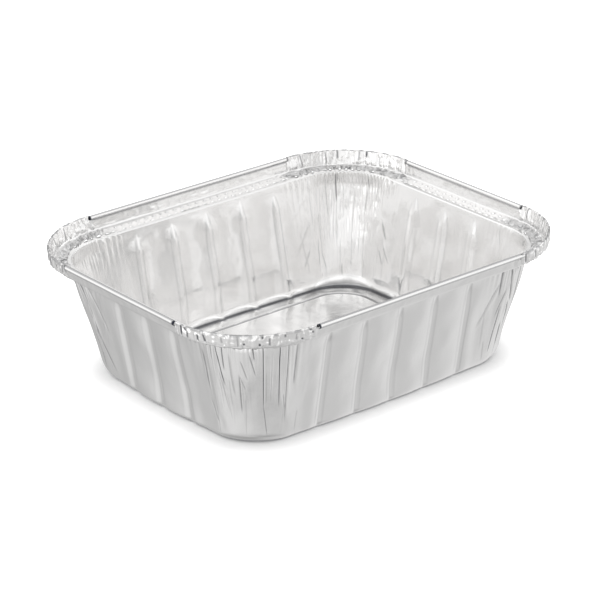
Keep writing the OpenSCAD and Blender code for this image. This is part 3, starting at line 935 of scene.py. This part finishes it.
def tentTone(s):
    # The tone goes by height: above the tray, lighter in a ring and dark right overhead; at its level,
    # darker behind it; and below, a little lighter in front and darker straight down. The last two are
    # lighter at the tray's ends than at its sides, by c = (x^2 - y^2) / (x^2 + y^2). From the tray's level
    # up there are six lighter and six darker streaks, by c * (4 * c^2 - 3).
    t = lightTent
    where = s.node("ShaderNodeTexCoord", {}, {}, "Object")
    direction = s.node("ShaderNodeVectorMath", {"operation": "NORMALIZE"}, {0: where}, "Vector")
    s.node("ShaderNodeSeparateXYZ", {}, {0: direction})
    x, y, z = s.outputs(0, 1, 2)
    c = (x * x - y * y) / (x * x + y * y + 0.001)
    uneven = 1 + t["streaks"] * c * (4 * c * c - 3)
    away = x * t["behind"][0] + y * t["behind"][1]
    front = ((-0.15 - away) / 0.35).clamp()
    behind = 1 - t["levelBehind"] * ((away - 0.55) / 0.35).clamp()
    low = t["below"] + t["belowSides"] * c * (1 - 0.6 * front) + t["belowFront"] * front
    low = low * (1 - (1 - t["straightDown"]) * ((-0.72 - z) / 0.28).clamp())
    middle = (t["level"] + t["levelSides"] * c) * uneven * behind
    high = t["above"] + t["ring"] * ((z - 0.5) / 0.15).clamp()
    high = (high - t["straightUp"] * ((z - 0.74) / 0.16).clamp()) * (0.4 + 0.6 * uneven)
    upper = ((z - 0.10) / 0.38).clamp()
    lower = ((-0.12 - z) / 0.25).clamp()
    return (middle * (1 - lower) + low * lower) * (1 - upper) + high * upper


def stageObject(name, places, faces, finish):
    # a mesh object that belongs to the studio and not to the tray
    mesh = bpy.data.meshes.new(name)
    mesh.from_pydata(places, [], faces)
    mesh.materials.append(finish)
    obj = addObject(name, mesh)
    return obj


def makeLightTent():
    # a sphere, radius * (sin t cos a, sin t sin a, cos t), that only glossy rays see
    finish = bpy.data.materials.new("tentTones")
    s = Shader(finish)
    glow = s.node("ShaderNodeEmission", {}, {"Color": white, "Strength": tentTone(s)}, "Emission")
    s.node("ShaderNodeOutputMaterial", {}, {"Surface": glow})
    t = np.linspace(0, np.pi, lightTent["rings"] + 1)[:, None]
    a = np.linspace(0, 2 * np.pi, 2 * lightTent["rings"], endpoint=False)[None, :]
    places = np.stack([np.sin(t) * np.cos(a), np.sin(t) * np.sin(a), np.cos(t) + 0 * a], -1)
    places = lightTent["radius"] * places
    index = np.arange(places[..., 0].size).reshape(places.shape[:2])
    after = np.roll(index, -1, axis=1)
    faces = np.stack([index[:-1], after[:-1], after[1:], index[1:]], -1).reshape(-1, 4)
    dome = stageObject("lightTent", places.reshape(-1, 3).tolist(), faces.tolist(), finish)
    dome.visible_camera = False
    dome.visible_diffuse = False
    dome.visible_shadow = False
    dome.visible_transmission = False


def makeFloor():
    # Matt, and lifted to white for the camera. The lift fades out under the tray's foot, by the distance
    # from the foot's rounded rectangle, so that the tray's shadow stays.
    finish = bpy.data.materials.new("paleFloor")
    s = Shader(finish)
    s.node("ShaderNodeLightPath", {}, {})
    camera, glossy, transmission = s.outputs("Is Camera Ray", "Is Glossy Ray", "Is Transmission Ray")
    shown = (camera + glossy + transmission).clamp()
    where = s.node("ShaderNodeTexCoord", {}, {}, "Object")
    s.node("ShaderNodeSeparateXYZ", {}, {0: where})
    x, y = s.outputs(0, 1)
    r = (tray["baseCornerRadius"] + 1) * mm
    dx = (x.absolute() - ((tray["halfLength"] - baseInset) * mm - r)).largest(0)
    dy = (y.absolute() - ((tray["halfWidth"] - baseInset) * mm - r)).largest(0)
    away = (dx * dx + dy * dy).squareRoot() - r
    lift = s.node("ShaderNodeMapRange", {"interpolation_type": "SMOOTHSTEP"}, {
        "Value": away, "From Min": studio["shadowStart"], "From Max": studio["shadowReach"],
        "To Min": studio["shadowLift"], "To Max": studio["floorLift"]})
    matt = s.node("ShaderNodeBsdfDiffuse", {}, {"Color": studio["floorColour"]}, "BSDF")
    glow = s.node("ShaderNodeEmission", {}, {"Color": white, "Strength": shown * lift}, "Emission")
    both = s.node("ShaderNodeAddShader", {}, {0: matt, 1: glow})
    s.node("ShaderNodeOutputMaterial", {}, {"Surface": both})
    size = studio["floorSize"] / 2
    corners = [(-size, -size, 0), (size, -size, 0), (size, size, 0), (-size, size, 0)]
    floor = stageObject("floor", corners, [(0, 1, 2, 3)], finish)
    floor.visible_glossy = False


def makeWorld():
    # one even level of white, for light and background alike
    world = bpy.data.worlds.new("studio")
    bpy.context.scene.world = world
    s = Shader(world)
    sky = s.node("ShaderNodeBackground", {}, {"Color": white, "Strength": studio["ambient"]}, "Background")
    s.node("ShaderNodeOutputWorld", {}, {"Surface": sky})


lamp = {"place": (0.15, 0.3, 0.9), "aim": (0, 0, 0.02), "size": 0.7, "watts": 0.6}  # metres


def makeLamp():
    # one weak square lamp overhead
    light = bpy.data.lights.new("overhead", "AREA")
    light.shape = "SQUARE"
    light.size = lamp["size"]
    light.energy = lamp["watts"]
    obj = addObject("overhead", light)
    obj.location = lamp["place"]
    obj.rotation_mode = "QUATERNION"
    obj.rotation_quaternion = (Vector(lamp["aim"]) - Vector(lamp["place"])).to_track_quat("-Z", "Y")


# The camera, worked out from the photograph: angles in degrees, lengths in millimetres
view = {
    "azimuth": -39.09, "elevation": 23.43, "roll": -0.79, "distance": 867.0, "target": (6.38, 8.29, 16.7),
    "focalPixels": 2633.0, "framePixels": 600, "sensor": 36.0,
    "clip": (0.01, 50),  # metres
}


def makeCamera():
    # it stands back from its target along the view, level but for the roll
    az, el, roll = (math.radians(view[name]) for name in ("azimuth", "elevation", "roll"))
    back = Vector((math.sin(az) * math.cos(el), -math.cos(az) * math.cos(el), math.sin(el)))
    level = Vector((math.cos(az), math.sin(az), 0))
    upright = back.cross(level)
    right = math.cos(roll) * level + math.sin(roll) * upright
    up = math.cos(roll) * upright - math.sin(roll) * level
    lens = bpy.data.cameras.new("camera")
    lens.sensor_width = view["sensor"]
    lens.lens = view["focalPixels"] / view["framePixels"] * view["sensor"]
    lens.clip_start, lens.clip_end = view["clip"]
    camera = addObject("camera", lens)
    place = Vector(view["target"]) * mm + back * view["distance"] * mm
    camera.matrix_world = Matrix.Translation(place) @ Matrix((right, up, back)).transposed().to_4x4()
    bpy.context.scene.camera = camera


makeFloor()
makeLightTent()
makeWorld()
makeLamp()
makeCamera()
bpy.context.scene.view_settings.view_transform = "Standard"
print("studio and camera made")
